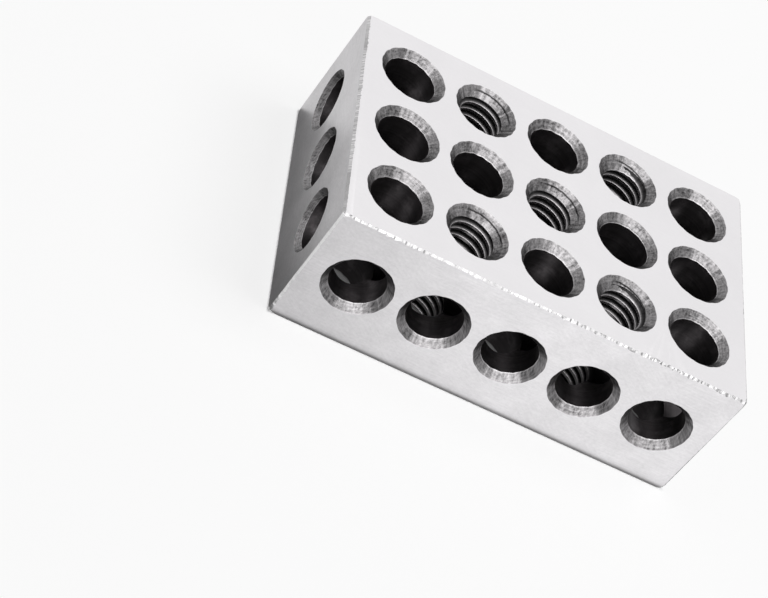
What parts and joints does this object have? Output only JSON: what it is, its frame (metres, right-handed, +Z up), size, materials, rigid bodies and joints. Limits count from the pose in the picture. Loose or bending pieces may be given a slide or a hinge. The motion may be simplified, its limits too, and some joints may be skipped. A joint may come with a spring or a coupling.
{
  "type": "setup block",
  "caption": "Ground steel setup block in 1-2-3 proportions, drilled through along every axis with crossing countersunk plain and tapped holes, for raising, squaring and clamping work.",
  "frame": {"origin": "middle of the bottom broad face, midway between the ends and between the sides", "axes": "+X along the 3 in length, +Y across the 2 in width, +Z up through the 1 in thickness; the block lies flat on a broad face"},
  "size_m": [0.0762, 0.0508, 0.0254],
  "materials": {
    "ground_steel": "hardened steel, ground on all six faces, with dark unground bores and turned countersinks"
  },
  "bodies": {
    "root": {"setup_block": "ground_steel"}
  },
  "joints": []
}
